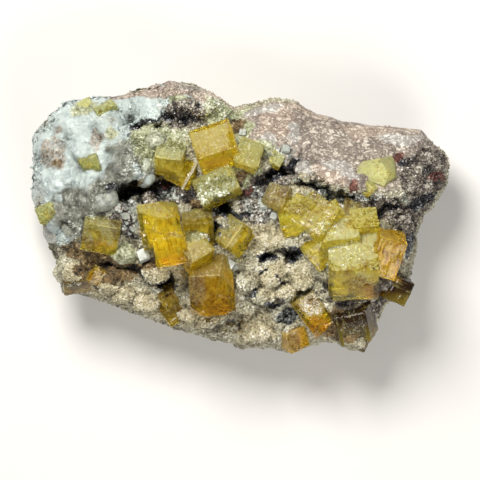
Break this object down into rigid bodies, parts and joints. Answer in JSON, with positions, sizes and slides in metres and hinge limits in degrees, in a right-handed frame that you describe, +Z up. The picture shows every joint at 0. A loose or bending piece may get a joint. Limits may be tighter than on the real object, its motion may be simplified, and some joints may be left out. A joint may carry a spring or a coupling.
{
  "type": "fluorite specimen",
  "caption": "Honey yellow fluorite cubes grown on a rough dark rock with sugary quartz and a mass of white quartz at one end.",
  "frame": {"origin": "on the flat back, under the middle of the specimen's length and width", "axes": "+X along the length, away from the white quartz end; +Y towards the high upper edge; +Z up, out of the flat back through the crystals"},
  "size_m": [0.1008, 0.066, 0.0396],
  "materials": {
    "host_rock": "rough",
    "quartz": "satin",
    "fluorite": "gloss",
    "smoky_fluorite": "gloss"
  },
  "bodies": {
    "root": {"host_rock": "host_rock", "quartz_mass": "quartz", "fluorite_heart": "fluorite", "fluorite_summit": "fluorite", "fluorite_west": "fluorite", "fluorite_gable": "fluorite", "fluorite_cluster": "fluorite", "fluorite_spear": "fluorite", "fluorite_corner": "fluorite", "fluorite_lone": "fluorite", "fluorite_speck": "fluorite", "fluorite_southwest": "fluorite", "fluorite_cleft": "fluorite", "fluorite_ledge": "fluorite", "fluorite_quartz_wedge": "fluorite", "fluorite_west_edge": "fluorite", "fluorite_smoky_east": "smoky_fluorite", "fluorite_smoky_south": "smoky_fluorite"}
  },
  "joints": []
}
